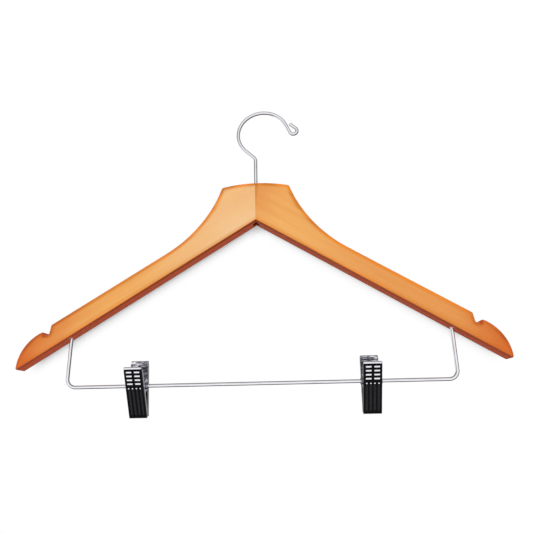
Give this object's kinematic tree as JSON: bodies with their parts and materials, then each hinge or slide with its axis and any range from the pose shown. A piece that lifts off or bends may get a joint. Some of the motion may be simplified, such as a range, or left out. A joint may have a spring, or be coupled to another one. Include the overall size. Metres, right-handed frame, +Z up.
{
  "type": "skirt hanger",
  "caption": "Wooden suit hanger with a swivel wire hook, strap notches, a wire trouser bar and sprung sliding skirt clips with black covers.",
  "frame": {"origin": "place on the inside of the hook's crook that sits on the rail, plumb above the swivel axis", "axes": "+Z up as it hangs, +X along the arms towards the hook's open side, +Y towards the back"},
  "size_m": [0.445, 0.0306, 0.3097],
  "materials": {
    "wood": "clear gloss varnish",
    "hook_chrome": "polished plating",
    "washer_steel": "zinc plated",
    "bar_chrome": "polished plating",
    "tube_steel": "plated",
    "clip_chrome": "polished plating",
    "clip_cover": "gloss black",
    "grip_rubber": "matt black",
    "spring_steel": "bright wire"
  },
  "bodies": {
    "hook": {"hook": "hook_chrome"},
    "frame": {"left_arm": "wood", "right_arm": "wood", "hook_washer": "washer_steel", "trouser_bar": "bar_chrome"},
    "left_clip_carriage": {"left_clip_tube": "tube_steel"},
    "left_clip_rear_jaw": {"left_clip_rear_plate": "clip_chrome", "left_clip_rear_cover": "clip_cover", "left_clip_rear_pad": "grip_rubber", "left_clip_spring": "spring_steel"},
    "left_clip_front_jaw": {"left_clip_front_plate": "clip_chrome", "left_clip_front_cover": "clip_cover", "left_clip_front_pad": "grip_rubber"},
    "right_clip_carriage": {"right_clip_tube": "tube_steel"},
    "right_clip_rear_jaw": {"right_clip_rear_plate": "clip_chrome", "right_clip_rear_cover": "clip_cover", "right_clip_rear_pad": "grip_rubber", "right_clip_spring": "spring_steel"},
    "right_clip_front_jaw": {"right_clip_front_plate": "clip_chrome", "right_clip_front_cover": "clip_cover", "right_clip_front_pad": "grip_rubber"}
  },
  "joints": [
    {"name": "hook_swivel", "type": "hinge", "parent": "hook", "child": "frame", "pos_m": [0, 0, -0.08225], "axis": [0, 0, 1], "continuous": true},
    {"name": "left_clip_slide", "type": "slide", "parent": "frame", "child": "left_clip_carriage", "axis": [1, 0, 0], "range_m": [-0.0481, 0.0999]},
    {"name": "left_clip_swing", "type": "hinge", "parent": "left_clip_carriage", "child": "left_clip_rear_jaw", "pos_m": [-0.1095, 0, -0.27723], "axis": [1, 0, 0], "continuous": true},
    {"name": "left_clip_open", "type": "hinge", "parent": "left_clip_rear_jaw", "child": "left_clip_front_jaw", "pos_m": [-0.1095, 0, -0.27723], "axis": [-1, 0, 0], "range_deg": [0, 34], "stiffness_Nm_per_rad": 0.35, "springref_deg": -34.38, "deforming": ["left_clip_spring"]},
    {"name": "right_clip_slide", "type": "slide", "parent": "frame", "child": "right_clip_carriage", "axis": [1, 0, 0], "range_m": [-0.0901, 0.0579]},
    {"name": "right_clip_swing", "type": "hinge", "parent": "right_clip_carriage", "child": "right_clip_rear_jaw", "pos_m": [0.0997, 0, -0.27723], "axis": [1, 0, 0], "continuous": true},
    {"name": "right_clip_open", "type": "hinge", "parent": "right_clip_rear_jaw", "child": "right_clip_front_jaw", "pos_m": [0.0997, 0, -0.27723], "axis": [-1, 0, 0], "range_deg": [0, 34], "stiffness_Nm_per_rad": 0.35, "springref_deg": -34.38, "deforming": ["right_clip_spring"]}
  ]
}
